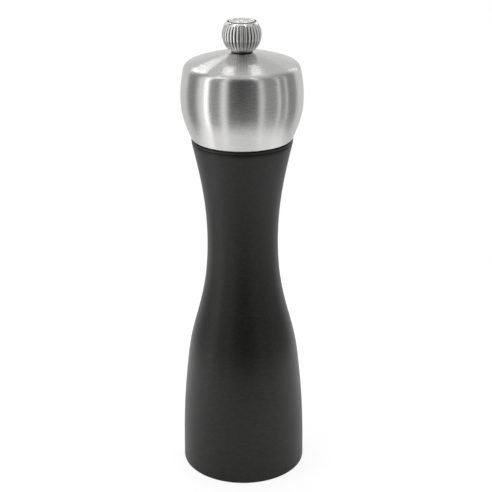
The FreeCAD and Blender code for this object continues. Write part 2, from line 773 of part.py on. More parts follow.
def main():
    os.makedirs("parts", exist_ok=True)
    save("body", body())
    save("neck_ring", neck_ring())
    save("burr_housing", burr_housing())
    save("shaft_bush", shaft_bush())
    save("burr_ring", burr_ring())
    save("base_plate", base_plate())
    save("base_screws", *base_screws())
    save("thrust_washer", thrust_washer())
    save("spring", spring())
    save("drive_shaft", drive_shaft())
    save("grinding_cone", grinding_cone())
    save("spring_seat", spring_seat())
    save("cone_washer", cone_washer())
    save("cone_clip", cone_clip())
    save("head_shell", head_shell())
    save("head_core", head_core())
    save("crown_washer", crown_washer())
    save("drive_plate", drive_plate())
    save("drive_plate_screws", *drive_plate_screws())
    save("knob_collar", knob_collar())
    save("knob", knob())
    save("knob_insert", knob_insert())
    save("knob_cap", knob_cap())


main()
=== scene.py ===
"""Looks for the pepper mill: fine meshes, materials, a white studio and the camera.

Units are metres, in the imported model's frame: the foot's centre is the origin and +Z is up.
"""

import math

import bmesh
import bpy
import numpy as np
from mathutils import Matrix, Vector

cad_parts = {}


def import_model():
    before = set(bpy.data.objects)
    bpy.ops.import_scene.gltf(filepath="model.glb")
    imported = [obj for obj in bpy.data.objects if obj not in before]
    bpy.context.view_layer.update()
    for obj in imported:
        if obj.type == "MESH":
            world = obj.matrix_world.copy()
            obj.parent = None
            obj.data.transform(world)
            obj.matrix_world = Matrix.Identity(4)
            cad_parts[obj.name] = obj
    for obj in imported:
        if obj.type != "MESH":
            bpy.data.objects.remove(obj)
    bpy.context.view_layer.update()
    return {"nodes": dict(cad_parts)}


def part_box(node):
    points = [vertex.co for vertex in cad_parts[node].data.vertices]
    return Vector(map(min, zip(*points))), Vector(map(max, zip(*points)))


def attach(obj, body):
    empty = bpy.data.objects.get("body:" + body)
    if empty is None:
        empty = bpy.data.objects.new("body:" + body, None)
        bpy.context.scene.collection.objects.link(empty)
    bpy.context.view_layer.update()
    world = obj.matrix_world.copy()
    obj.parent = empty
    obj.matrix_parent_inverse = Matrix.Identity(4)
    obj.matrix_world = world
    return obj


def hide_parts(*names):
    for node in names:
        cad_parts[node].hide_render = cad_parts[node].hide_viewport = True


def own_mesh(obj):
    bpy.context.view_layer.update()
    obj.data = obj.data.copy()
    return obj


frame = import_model()

MM = 0.001
FULL_TURN = 2 * math.pi
SEGMENTS = 256
SHARP_ANGLE = 35.0
SAME_POINT = 1e-7


# ---- outlines and meshes ----


def smooth_through(points, count):
    """A smooth open outline through (radius, height) points: a natural cubic spline by distance."""
    p = np.array(points, float)
    t = np.concatenate([[0.0], np.cumsum(np.hypot(*np.diff(p, axis=0).T))])
    h = np.diff(t)
    n = len(t)
    matrix = np.eye(n)
    right = np.zeros((n, 2))
    for i in range(1, n - 1):
        matrix[i, i - 1 : i + 2] = (h[i - 1], 2 * (h[i - 1] + h[i]), h[i])
        right[i] = 6 * ((p[i + 1] - p[i]) / h[i] - (p[i] - p[i - 1]) / h[i - 1])
    bend = np.linalg.solve(matrix, right)
    result = []
    for s in np.linspace(0, t[-1], count):
        i = min(int(np.searchsorted(t, s, side="right")) - 1, n - 2)
        a = (t[i + 1] - s) / h[i]
        b = (s - t[i]) / h[i]
        curve = a * p[i] + b * p[i + 1]
        curve += ((a**3 - a) * bend[i] + (b**3 - b) * bend[i + 1]) * h[i] ** 2 / 6
        result.append(tuple(curve))
    return result


def rounded(corners):
    """A closed outline from (radius, height, rounding) corners, each rounded with a short curve."""
    steps = 6
    result = []
    count = len(corners)
    for i, (r, z, rounding) in enumerate(corners):
        here = Vector((r, z))
        before = Vector(corners[i - 1][:2]) - here
        after = Vector(corners[(i + 1) % count][:2]) - here
        if rounding <= 0:
            result.append((r, z))
            continue
        half = before.angle(after) / 2
        reach = min(rounding / math.tan(half), before.length * 0.49, after.length * 0.49)
        start = here + before.normalized() * reach
        end = here + after.normalized() * reach
        for k in range(steps + 1):
            u = k / steps
            bezier = start * (1 - u) ** 2 + here * 2 * u * (1 - u) + end * u**2
            result.append((bezier.x, bezier.y))
    return result


def finish_mesh(name, bm, crease=SHARP_ANGLE):
    """A mesh object from bmesh data, smooth but for edges sharper than the crease angle."""
    bmesh.ops.recalc_face_normals(bm, faces=bm.faces)
    for face in bm.faces:
        face.smooth = True
    for edge in bm.edges:
        edge.smooth = len(edge.link_faces) == 2 and edge.calc_face_angle() < math.radians(crease)
    mesh = bpy.data.meshes.new(name)
    bm.to_mesh(mesh)
    bm.free()
    obj = bpy.data.objects.new(name, mesh)
    bpy.context.scene.collection.objects.link(obj)
    return obj


def lathe(
    name, outline, segments=SEGMENTS, shape=None, crease=SHARP_ANGLE, second_from=None
):
    """A solid turned about Z from a closed outline. shape(radius, height, angle) may change the radius.

    From outline point second_from on, the faces take the object's second material.
    """
    bm = bmesh.new()
    rings = []
    for i in range(segments):
        angle = FULL_TURN * i / segments
        ring = []
        for r, z in outline:
            reach = shape(r, z, angle) if shape else r
            ring.append(bm.verts.new((reach * math.cos(angle), reach * math.sin(angle), z)))
        rings.append(ring)
    count = len(outline)
    for i in range(segments):
        a = rings[i]
        b = rings[(i + 1) % segments]
        for k in range(count):
            m = (k + 1) % count
            face = bm.faces.new((a[k], b[k], b[m], a[m]))
            face.material_index = int(second_from is not None and k >= second_from)
    bmesh.ops.remove_doubles(bm, verts=bm.verts, dist=SAME_POINT)
    bmesh.ops.dissolve_degenerate(bm, edges=bm.edges, dist=SAME_POINT)
    return finish_mesh(name, bm, crease)


def place(obj, body, node, material):
    """obj rides the body, stands for the CAD node and takes the material."""
    obj.data.materials.append(material)
    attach(obj, body)
    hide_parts(node)


# ---- material helpers ----

# Most of a noise texture's values lie between these.
NOISE_LOW = 0.3
NOISE_HIGH = 0.7
# Near black, painted in as shade: in the reeds' grooves, the knob's seat and the gap at the cap's edge.
PAINTED_SHADE_BLACK = (0.02, 0.02, 0.02)


class NodeTree:
    """A node tree, with short ways to add nodes and link them."""

    def __init__(self, tree):
        self.tree = tree

    def node(self, kind, inputs=None, **settings):
        made = self.tree.nodes.new(kind)
        for key, value in settings.items():
            setattr(made, key, value)
        for key, value in (inputs or {}).items():
            self.feed(made.inputs[key], value)
        return made

    def feed(self, socket, value):
        """Links a node's output to the socket, or sets the socket to a plain value."""
        if isinstance(value, bpy.types.NodeSocket):
            self.tree.links.new(value, socket)
        else:
            socket.default_value = value

    def math(self, operation, a, b=0.0):
        return self.node("ShaderNodeMath", {0: a, 1: b}, operation=operation).outputs[0]

    def length(self, vector):
        return self.node("ShaderNodeVectorMath", {0: vector}, operation="LENGTH").outputs["Value"]

    def split(self, vector):
        return self.node("ShaderNodeSeparateXYZ", {"Vector": vector}).outputs

    def mix(self, factor, a, b):
        made = self.node("ShaderNodeMix", {"Factor": factor, "A": a, "B": b}, data_type="RGBA")
        return made.outputs["Result"]

    def remap(self, value, low, high, new_low, new_high, **settings):
        made = self.node(
            "ShaderNodeMapRange",
            {"Value": value, 1: low, 2: high, 3: new_low, 4: new_high},
            **settings,
        )
        return made.outputs["Result"]

    def ramp(self, value, stops):
        made = self.node("ShaderNodeValToRGB", {"Fac": value})
        elements = made.color_ramp.elements
        while len(elements) < len(stops):
            elements.new(0.5)
        for element, (place_at, color) in zip(elements, stops):
            element.position = place_at
            element.color = (*color, 1.0)
        return made.outputs["Color"]

    def seen_by_camera(self):
        return self.node("ShaderNodeLightPath").outputs["Is Camera Ray"]


class Shader(NodeTree):
    """A material's node tree, around its Principled shader."""

    def __init__(self, name):
        self.material = bpy.data.materials.new(name)
        self.material.use_nodes = True
        super().__init__(self.material.node_tree)
        self.bsdf = self.tree.nodes["Principled BSDF"]

    def set(self, **values):
        """Sets the shader's own sockets. Underscores in a name stand for spaces."""
        for key, value in values.items():
            self.feed(self.bsdf.inputs[key.replace("_", " ")], value)

    def position(self):
        return self.node("ShaderNodeTexCoord").outputs["Object"]

    def noise(self, vector, scale, detail=2.0, roughness=0.5):
        made = self.node(
            "ShaderNodeTexNoise",
            {"Vector": vector, "Scale": scale, "Detail": detail, "Roughness": roughness},
        )
        return made.outputs["Fac"]

    def vary(self, noise, low, high):
        """A noise's usual span of values, stretched to run from low to high."""
        return self.remap(noise, NOISE_LOW, NOISE_HIGH, low, high)

    def bump(self, height, distance, strength, below=None):
        inputs = {"Height": height, "Distance": distance, "Strength": strength}
        if below is not None:
            inputs["Normal"] = below
        return self.node("ShaderNodeBump", inputs).outputs["Normal"]

    def round_the_axis(self, around, along):
        """Coordinates for marks that run round Z: stretched round it, fine along the outline."""
        x, y, z = self.split(self.position())
        flat = self.node("ShaderNodeCombineXYZ", {"X": x, "Y": y}).outputs[0]
        unit = self.node("ShaderNodeVectorMath", {0: flat}, operation="NORMALIZE").outputs[0]
        across = self.split(unit)
        outline = self.math("SUBTRACT", z, self.length(flat))
        made = self.node(
            "ShaderNodeCombineXYZ",
            {
                "X": self.math("MULTIPLY", across[0], around),
                "Y": self.math("MULTIPLY", across[1], around),
                "Z": self.math("MULTIPLY", outline, along),
            },
        )
        return made.outputs[0]


def lacquer():
    """Matt black lacquer over turned wood: fine turning lines, and a faint orange peel."""
    s = Shader("black_lacquer")
    spot = s.position()
    patches = s.noise(spot, 22.0, 3.0)
    fine = s.noise(spot, 1900.0, 2.0, 0.6)
    lines = s.noise(s.round_the_axis(9.0, 800.0), 1.0, 3.0, 0.75)
    tone = s.math("ADD", s.math("MULTIPLY", patches, 0.35), s.math("MULTIPLY", lines, 0.65))
    rough = s.math("ADD", s.vary(patches, 0.33, 0.36), s.math("MULTIPLY", lines, 0.12))
    normal = s.bump(fine, 0.03 * MM, 0.6)
    normal = s.bump(lines, 0.04 * MM, 0.6, normal)
    dark = (0.0050, 0.0047, 0.0042)
    light = (0.0145, 0.0138, 0.0124)
    s.set(
        Base_Color=s.ramp(tone, [(0.38, dark), (0.62, light)]),
        Roughness=rough,
        IOR=1.39,
        Normal=normal,
    )
    return s.material


def raw_beech():
    """Bare turned beech inside the body: long grain with short darker flecks."""
    s = Shader("raw_beech")
    stretch = s.node(
        "ShaderNodeMapping", {"Vector": s.position(), "Scale": (240.0, 240.0, 18.0)}
    ).outputs[0]
    flecks = s.node(
        "ShaderNodeMapping", {"Vector": s.position(), "Scale": (900.0, 900.0, 140.0)}
    ).outputs[0]
    grain = s.noise(stretch, 1.0, 4.0, 0.6)
    fleck = s.remap(s.noise(flecks, 1.0, 1.0), 0.62, 0.72, 0.0, 0.5)
    base = s.ramp(
        grain, [(0.25, (0.36, 0.20, 0.105)), (0.5, (0.50, 0.31, 0.17)), (0.8, (0.60, 0.40, 0.24))]
    )
    s.set(
        Base_Color=s.mix(fleck, base, (0.24, 0.12, 0.06, 1.0)),
        Roughness=s.vary(grain, 0.62, 0.74),
        Normal=s.bump(grain, 0.06 * MM, 0.6),
    )
    return s.material


def brushed_steel(name, color, roughness, anisotropy, lines, depth, spread, edge=None):
    """Steel brushed round the axis. Past the edge radius, where one is given, shade is painted in near
    black, for the gap round the piece.
    """
    s = Shader(name)
    marks = s.noise(s.round_the_axis(3.0, lines), 1.0, 3.0, 0.7)
    wide = s.noise(s.round_the_axis(1.2, lines / 8), 1.0, 2.0)
    smudge = s.noise(s.position(), 90.0, 3.0)
    low = tuple(c * 0.9 for c in color)
    tint = s.ramp(marks, [(NOISE_LOW, low), (NOISE_HIGH, color)])
    if edge is not None:
        # Painted shade: past the edge radius the colour turns near black, as the gap round the piece
        # would lie in shadow.
        flat = s.node(
            "ShaderNodeVectorMath", {0: s.position(), 1: (1.0, 1.0, 0.0)}, operation="MULTIPLY"
        ).outputs[0]
        painted_shade = s.remap(s.length(flat), edge - 0.05 * MM, edge, 0.0, 1.0)
        tint = s.mix(painted_shade, tint, (*PAINTED_SHADE_BLACK, 1.0))
    rough = s.math("ADD", s.vary(marks, -spread, spread), roughness)
    rough = s.math("ADD", rough, s.vary(smudge, -spread / 2, spread / 2))
    normal = s.bump(marks, depth, 0.6)
    normal = s.bump(wide, depth * 2, 0.4, normal)
    s.set(
        Base_Color=tint,
        Metallic=1.0,
        Roughness=rough,
        Anisotropic=anisotropy,
        Anisotropic_Rotation=0.25,
        Tangent=s.node("ShaderNodeTangent", direction_type="RADIAL", axis="Z").outputs[0],
        Normal=normal,
    )
    return s.material


def reeded_steel():
    """Polished steel, bright on the ball's outside, and dull in the grooves and the seat, where shade is
    painted into the colour near black.
    """
    s = Shader("knob_steel")
    centre = (0.0, 0.0, KNOB_CENTRE)
    away = s.node(
        "ShaderNodeVectorMath", {0: s.position(), 1: centre}, operation="DISTANCE"
    ).outputs["Value"]
    groove_floor = KNOB_SPHERE_RADIUS - REED_DULL_AND_SHADE_DEPTH
    crest = s.remap(away, groove_floor, KNOB_SPHERE_RADIUS, 0.0, 1.0)
    marks = s.noise(s.round_the_axis(3.0, 900.0), 1.0, 3.0, 0.7)
    rough = s.math("ADD", s.remap(crest, 0.0, 1.0, 0.4, 0.12), s.vary(marks, -0.02, 0.02))
    # Painted shade: the colour runs from near black at the groove floor to bright steel on the crests.
    stops = [(0.0, PAINTED_SHADE_BLACK), (0.45, (0.16, 0.16, 0.158)), (0.8, (0.86, 0.855, 0.85))]
    s.set(
        Base_Color=s.ramp(crest, stops),
        Metallic=1.0,
        Roughness=rough,
        Normal=s.bump(marks, 0.001 * MM, 0.6),
    )
    return s.material


def grained_metal(name, color, roughness, scale=900.0, depth=0.006 * MM):
    """Metal with a fine even grain, for stamped, drawn, hardened and turned pieces."""
    s = Shader(name)
    spot = s.position()
    grain = s.noise(spot, scale, 3.0, 0.6)
    patches = s.noise(spot, 160.0, 3.0)
    dark = tuple(c * 0.8 for c in color)
    s.set(
        Base_Color=s.ramp(patches, [(NOISE_LOW, dark), (NOISE_HIGH, color)]),
        Metallic=1.0,
        Roughness=s.vary(grain, roughness - 0.06, roughness + 0.06),
        Normal=s.bump(grain, depth, 0.6),
    )
    return s.material


def plastic(name, color, roughness):
    """Moulded plastic with a fine spark-eroded texture."""
    s = Shader(name)
    spot = s.position()
    grain = s.noise(spot, 2600.0, 2.0, 0.6)
    patches = s.noise(spot, 120.0, 2.0)
    light = tuple(c * 1.25 for c in color)
    s.set(
        Base_Color=s.ramp(patches, [(NOISE_LOW, color), (NOISE_HIGH, light)]),
        Roughness=s.vary(grain, roughness - 0.05, roughness + 0.05),
        IOR=1.46,
        Normal=s.bump(grain, 0.01 * MM, 0.5),
    )
    return s.material


# ---- body ----

FOOT_RADIUS = 27.05 * MM
FOOT_ROUNDING = 0.7 * MM
BODY_OUTLINE_MM = [
    (27.05, 0.7),
    (26.87, 14.0),
    (26.2, 30.0),
    (24.9, 45.0),
    (22.8, 60.0),
    (18.95, 75.0),
    (16.05, 90.0),
    (15.15, 105.0),
    (15.85, 120.0),
    (18.05, 135.0),
    (21.1, 149.2),
]
RECESS_RADIUS = 22.6 * MM
RECESS_DEPTH = 2.6 * MM
HOUSING_BORE_RADIUS = 17.0 * MM
HOUSING_BORE_TOP = 32.2 * MM
CHAMBER_RADIUS = 11.5 * MM
SOCKET_RADIUS = 14.4 * MM
SOCKET_FLOOR = 133.5 * MM
INNER_BEVEL = 0.4 * MM
FOOT_STEPS = 7
BODY_ROWS = 120
# The top's outer edge leans in, and then turns over onto the flat top.
TOP_EDGE_LEAN = 0.06 * MM
TOP_EDGE_DEPTH = 0.12 * MM
TOP_EDGE_WIDTH = 0.2 * MM


def body():
    """Turned body: lacquered outside, on the foot and on the top, bare beech in its bores."""
    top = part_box("body")[1].z
    outside = smooth_through([(r * MM, z * MM) for r, z in BODY_OUTLINE_MM], BODY_ROWS)
    foot = [(RECESS_RADIUS + INNER_BEVEL, 0.0)]
    for k in range(FOOT_STEPS):
        angle = math.pi / 2 * k / FOOT_STEPS
        inset = FOOT_ROUNDING * (1 - math.sin(angle))
        foot.append((FOOT_RADIUS - inset, FOOT_ROUNDING * (1 - math.cos(angle))))
    neck = outside[-1][0]
    edge = [
        (neck - TOP_EDGE_LEAN, top - TOP_EDGE_DEPTH),
        (neck - TOP_EDGE_WIDTH, top),
        (SOCKET_RADIUS + INNER_BEVEL, top),
    ]
    slope = SOCKET_RADIUS - CHAMBER_RADIUS
    lacquered = foot + outside + edge
    raw = [
        (SOCKET_RADIUS, top - INNER_BEVEL),
        (SOCKET_RADIUS, SOCKET_FLOOR),
        (CHAMBER_RADIUS, SOCKET_FLOOR - slope),
        (CHAMBER_RADIUS, HOUSING_BORE_TOP),
        (HOUSING_BORE_RADIUS, HOUSING_BORE_TOP),
        (HOUSING_BORE_RADIUS, RECESS_DEPTH),
        (RECESS_RADIUS, RECESS_DEPTH),
        (RECESS_RADIUS, INNER_BEVEL),
    ]
    obj = lathe("turned_body", lacquered + raw, second_from=len(lacquered))
    place(obj, "mill_body", "body", lacquer())
    obj.data.materials.append(raw_beech())


RING_BORE_RADIUS = 14.6 * MM
RING_GROOVE_DEPTH = 0.6 * MM
RING_GROOVE_HEIGHT = 0.2 * MM


def neck_ring(material):
    """Glide ring with a rounded edge above a fine shadow groove."""
    low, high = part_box("neck_ring")
    groove = high.x - RING_GROOVE_DEPTH
    groove_top = low.z + RING_GROOVE_HEIGHT
    outline = rounded(
        [
            (RING_BORE_RADIUS, low.z, 0),
            (groove, low.z, 0),
            (groove, groove_top, 0),
            (high.x, groove_top, 0.1 * MM),
            (high.x, high.z, 0.25 * MM),
            (RING_BORE_RADIUS, high.z, 0.2 * MM),
        ]
    )
    place(lathe("glide_ring", outline), "mill_body", "neck_ring", material)


# ---- head ----

SHELL_SIDE_MM = [
    (21.1, 151.2),
    (23.35, 157.0),
    (24.95, 163.0),
    (25.38, 168.0),
    (25.0, 175.0),
    (24.2, 179.8),
]
SHELL_CROWN_MM = [
    (21.4, 183.05),
    (19.0, 183.85),
    (15.0, 185.05),
    (10.5, 186.25),
    (6.0, 187.2),
]
SHELL_WALL = 0.9 * MM
SHELL_HOLE_RADIUS = 3.4 * MM
SHELL_HOLE_EDGE = 0.15 * MM
SHELL_RIM = 0.22 * MM
SHELL_SIDE_ROWS = 60
SHELL_CROWN_ROWS = 40
# The shoulder is one cubic curve. Its handles are this share of the straight distance.
SHOULDER_REACH = 0.42
SHOULDER_STEPS = 14


def offset_inwards(outline, distance):
    """The outline moved to its left, at right angles to its own direction."""
    result = []
    for i, (r, z) in enumerate(outline):
        before = Vector(outline[max(i - 1, 0)])
        after = Vector(outline[min(i + 1, len(outline) - 1)])
        along = (after - before).normalized()
        result.append((r - along.y * distance, z + along.x * distance))
    return result


def head_shell(material):
    """Spun shell: barrel side, rounded shoulder, low crown, and a rolled rim below."""
    side = smooth_through([(r * MM, z * MM) for r, z in SHELL_SIDE_MM], SHELL_SIDE_ROWS)
    crown = smooth_through([(r * MM, z * MM) for r, z in SHELL_CROWN_MM], SHELL_CROWN_ROWS)
    start = Vector(side[-1])
    end = Vector(crown[0])
    leave = (start - Vector(side[-2])).normalized()
    arrive = (Vector(crown[1]) - end).normalized()
    reach = (end - start).length * SHOULDER_REACH
    shoulder = []
    for k in range(1, SHOULDER_STEPS):
        u = k / SHOULDER_STEPS
        a = start * (1 - u) ** 3 + (start + leave * reach) * 3 * u * (1 - u) ** 2
        b = (end - arrive * reach) * 3 * u**2 * (1 - u) + end * u**3
        shoulder.append(tuple(a + b))
    outside = side + shoulder + crown
    inside = offset_inwards(outside, SHELL_WALL)
    bottom = SHELL_SIDE_MM[0][1] * MM
    hole_top = outside[-1][1]
    hole_bottom = inside[-1][1]
    edge = outside[0][0]
    lip = [(edge - SHELL_RIM, bottom), (edge - SHELL_RIM * 0.3, bottom + SHELL_RIM * 0.3)]
    outside = lip + outside[1:]
    inside = [p for p in inside if p[1] > bottom + SHELL_RIM]
    inside = [(inside[0][0], bottom)] + inside
    hole = [
        (SHELL_HOLE_RADIUS + SHELL_HOLE_EDGE, hole_top),
        (SHELL_HOLE_RADIUS, hole_top - SHELL_HOLE_EDGE),
        (SHELL_HOLE_RADIUS, hole_bottom),
    ]
    outline = outside + hole + inside[::-1]
    place(lathe("steel_head", outline), "head", "head_shell", material)


# ---- knob ----

KNOB_FOOT_RADIUS = 4.45 * MM
KNOB_FOOT_TOP = 188.7 * MM
KNOB_SPHERE_RADIUS = 8.12 * MM
KNOB_CENTRE = 194.35 * MM
KNOB_BOTTOM = 187.7 * MM
KNOB_TOP = 199.75 * MM
KNOB_BORE_RADIUS = 3.7 * MM
KNOB_ROWS = 72
REED_COUNT = 32
REED_STEPS = 16
REED_RADIUS = 1.15 * MM
REED_TOP = 198.9 * MM
REED_FADE = 0.35 * MM
# Deeper than this below the ball's surface, the reeds are fully dull and painted near black as shade;
# above it they brighten towards the crests.
REED_DULL_AND_SHADE_DEPTH = 0.32 * MM
CAP_RADIUS = 5.45 * MM
CAP_GROOVE = 0.4 * MM
CAP_SEAT = 198.7 * MM


def knob(material):
    """Ball knob with upright reeds, a plain band above them and a seat for the cap."""

    def reeded(r, z, angle):
        """The radius at an angle: full on a reed's crest, and less towards the grooves."""
        inside_ball = math.hypot(r, z - KNOB_CENTRE) < KNOB_SPHERE_RADIUS - 0.02 * MM
        if inside_ball:
            return r
        fade = min(max((REED_TOP - z) / REED_FADE, 0.0), 1.0)
        pitch = FULL_TURN / REED_COUNT
        aside = (angle + pitch / 2) % pitch - pitch / 2
        across = r * math.sin(aside)
        drop = REED_RADIUS - math.sqrt(REED_RADIUS**2 - across**2)
        reach = r - drop * fade
        return max(reach, KNOB_FOOT_RADIUS) if z < KNOB_FOOT_TOP else reach

    ball = []
    low = math.asin((KNOB_BOTTOM - KNOB_CENTRE) / KNOB_SPHERE_RADIUS)
    high = math.asin((KNOB_TOP - KNOB_CENTRE) / KNOB_SPHERE_RADIUS)
    for angle in np.linspace(low, high, KNOB_ROWS):
        r = KNOB_SPHERE_RADIUS * math.cos(angle)
        z = KNOB_CENTRE + KNOB_SPHERE_RADIUS * math.sin(angle)
        ball.append((r, z))
    seat = CAP_RADIUS + CAP_GROOVE
    inside = [
        (seat, KNOB_TOP),
        (seat, CAP_SEAT),
        (KNOB_BORE_RADIUS, CAP_SEAT),
        (KNOB_BORE_RADIUS, KNOB_BOTTOM),
        (KNOB_FOOT_RADIUS - 0.1 * MM, KNOB_BOTTOM),
    ]
    obj = lathe("reeded_knob", ball + inside, REED_COUNT * REED_STEPS, reeded, crease=50.0)
    place(obj, "knob", "knob", material)


CAP_SEGMENTS = 192
CAP_FIELD_DEPTH = 0.35 * MM
CAP_FIELD_ROWS = 40
CAP_RIM_WIDTH = 0.8 * MM
CAP_RIM_SLOPE = 0.35 * MM
CAP_RIM_DROP = 0.02 * MM
BEAD_COUNT = 3
BEAD_CIRCLE_RADIUS = 1.85 * MM
BEAD_RADIUS = 1.3 * MM
BEAD_HEIGHT = 0.3 * MM
BEAD_FULLNESS = 0.8


def knob_cap(material):
    """Cap with a raised rim and three low beads, like peppercorns."""
    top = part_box("knob_cap")[1].z
    field = top - CAP_FIELD_DEPTH
    rim = top - CAP_RIM_DROP
    outline = rounded(
        [
            (0.0, CAP_SEAT, 0),
            (CAP_RADIUS, CAP_SEAT, 0),
            (CAP_RADIUS, rim, 0.25 * MM),
            (CAP_RADIUS - CAP_RIM_WIDTH, rim, 0.3 * MM),
            (CAP_RADIUS - CAP_RIM_WIDTH - CAP_RIM_SLOPE, field, 0.3 * MM),
        ]
    )
    inner = outline[-1][0]
    rows = CAP_FIELD_ROWS
    outline += [(inner * (1 - k / rows), field) for k in range(1, rows + 1)]
    obj = lathe("knob_cap_disc", outline, CAP_SEGMENTS)
    centres = []
    for k in range(BEAD_COUNT):
        angle = math.pi / 2 + FULL_TURN * k / BEAD_COUNT
        centres.append((BEAD_CIRCLE_RADIUS * math.cos(angle), BEAD_CIRCLE_RADIUS * math.sin(angle)))
    for vertex in obj.data.vertices:
        x, y, z = vertex.co
        if z < field - 0.01 * MM or math.hypot(x, y) > inner:
            continue
        for bead_x, bead_y in centres:
            away = math.hypot(x - bead_x, y - bead_y) / BEAD_RADIUS
            if away < 1:
                rise = math.cos(away * math.pi / 2) ** BEAD_FULLNESS
                vertex.co.z = field + BEAD_HEIGHT * rise
    place(obj, "knob", "knob_cap", material)


COLLAR_BORE_RADIUS = 2.8 * MM
COLLAR_STEM_RADIUS = 3.3 * MM
COLLAR_GAP = 0.05 * MM
COLLAR_SEGMENTS = 128


def knob_collar(material):
    """Collar with rounded edges and a stem that goes down into the head's hole."""
    low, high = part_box("knob_collar")
    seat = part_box("head_shell")[1].z + COLLAR_GAP
    outline = rounded(
        [
            (COLLAR_BORE_RADIUS, low.z, 0.1 * MM),
            (COLLAR_STEM_RADIUS, low.z, 0.15 * MM),
            (COLLAR_STEM_RADIUS, seat, 0),
            (high.x, seat, 0.12 * MM),
            (high.x, high.z, 0.2 * MM),
            (COLLAR_BORE_RADIUS, high.z, 0.1 * MM),
        ]
    )
    obj = lathe("collar", outline, COLLAR_SEGMENTS)
    place(obj, "collar", "knob_collar", material)


# ---- shaft ----

SHAFT_SIDE = 6.0 * MM
SHAFT_CORNER_RADIUS = 4.0 * MM
SHAFT_TIP_RADIUS = 2.8 * MM
CLIP_GROOVE_RADIUS = 2.3 * MM
SQUARE_TOP = 174.0 * MM
THREAD_START = 177.0 * MM
THREAD_RADIUS = 2.5 * MM
THREAD_ROOT_RADIUS = 2.06 * MM
THREAD_PITCH = 0.8 * MM
THREAD_STEPS = 10
THREAD_END_GAP = 0.5 * MM
# A thread's ridge, across one pitch: its flanks rise at this slope, and its crest is cut flat at 1.
RIDGE_PEAK = 1.6
RIDGE_SLOPE = 4.0
CORNER_CHAMFER = 0.4 * MM
NECK_TAPER = 1.2 * MM
SHAFT_SEGMENTS = 96


def drive_shaft(material):
    """Square bar with a real helical thread above it and a groove for the clip below."""
    low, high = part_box("drive_shaft")
    clip_low, clip_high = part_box("cone_clip")
    thread_end = high.z - THREAD_END_GAP

    def worked(r, z, angle):
        """The radius at an angle: square flats on the bar, and a helical ridge on the thread."""
        if r > SHAFT_SIDE / 2:
            flat = SHAFT_SIDE / 2 / max(abs(math.cos(angle)), abs(math.sin(angle)))
            return min(r, flat)
        if THREAD_START < z < thread_end:
            turn = (z / THREAD_PITCH - angle / FULL_TURN) % 1.0
            ridge = min(max(RIDGE_PEAK - abs(turn - 0.5) * RIDGE_SLOPE, 0.0), 1.0)
            run_in = (z - THREAD_START) / THREAD_PITCH
            run_out = (thread_end - z) / (0.5 * THREAD_PITCH)
            height = (THREAD_RADIUS - THREAD_ROOT_RADIUS) * ridge * min(run_in, run_out, 1.0)
            return THREAD_ROOT_RADIUS + height
        return r

    outline = [
        (0.0, low.z),
        (SHAFT_TIP_RADIUS - 0.3 * MM, low.z),
        (SHAFT_TIP_RADIUS, low.z + 0.2 * MM),
        (SHAFT_TIP_RADIUS, clip_low.z),
        (CLIP_GROOVE_RADIUS, clip_low.z),
        (CLIP_GROOVE_RADIUS, clip_high.z),
        (SHAFT_CORNER_RADIUS, clip_high.z),
        (SHAFT_CORNER_RADIUS, SQUARE_TOP - CORNER_CHAMFER),
        (SHAFT_CORNER_RADIUS - CORNER_CHAMFER, SQUARE_TOP),
        (SHAFT_SIDE / 2 - 0.05 * MM, SQUARE_TOP),
        (THREAD_ROOT_RADIUS, SQUARE_TOP + NECK_TAPER),
    ]
    length = thread_end - THREAD_START
    rows = round(length / THREAD_PITCH * THREAD_STEPS)
    outline += [(THREAD_ROOT_RADIUS, THREAD_START + length * k / rows) for k in range(rows + 1)]
    outline += [(THREAD_ROOT_RADIUS - 0.4 * MM, high.z), (0.0, high.z)]
    obj = lathe("threaded_shaft", outline, SHAFT_SEGMENTS, worked, crease=30.0)
    place(obj, "shaft", "drive_shaft", material)


# ---- spring ----

SPRING_WIRE_RADIUS = 0.45 * MM
SPRING_TURNS = 6.5
SPRING_CLOSED_TURNS = 1.0
SPRING_STEPS = 40
SPRING_SIDES = 14


def spring(material):
    """Coil spring with closed ends, riding the thrust body. In the mill it is squeezed from below as the
    knob is screwed down; this mesh keeps one shape.
    """
    low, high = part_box("spring")
    wire = SPRING_WIRE_RADIUS
    radius = high.x - wire
    closed = SPRING_CLOSED_TURNS
    closed_pitch = 2 * wire
    height = high.z - low.z - 2 * wire
    open_pitch = (height - 2 * closed * closed_pitch) / (SPRING_TURNS - 2 * closed)
    bm = bmesh.new()
    rings = []
    for i in range(int(SPRING_TURNS * SPRING_STEPS) + 1):
        turned = i / SPRING_STEPS
        angle = FULL_TURN * turned
        if turned < closed:
            rise = closed_pitch * turned
        elif turned > SPRING_TURNS - closed:
            rise = height - closed_pitch * (SPRING_TURNS - turned)
        else:
            rise = closed_pitch * closed + open_pitch * (turned - closed)
        ring = []
        for k in range(SPRING_SIDES):
            side = FULL_TURN * k / SPRING_SIDES
            reach = radius + wire * math.cos(side)
            z = low.z + wire + rise + wire * math.sin(side)
            ring.append(bm.verts.new((reach * math.cos(angle), reach * math.sin(angle), z)))
        rings.append(ring)
    for a, b in zip(rings, rings[1:]):
        for k in range(SPRING_SIDES):
            m = (k + 1) % SPRING_SIDES
            bm.faces.new((a[k], a[m], b[m], b[k]))
    bm.faces.new(rings[0])
    bm.faces.new(rings[-1][::-1])
    obj = finish_mesh("coil_spring", bm, crease=50.0)
    place(obj, "thrust", "spring", material)
    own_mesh(obj)


# ---- CAD nodes that keep their own shape ----


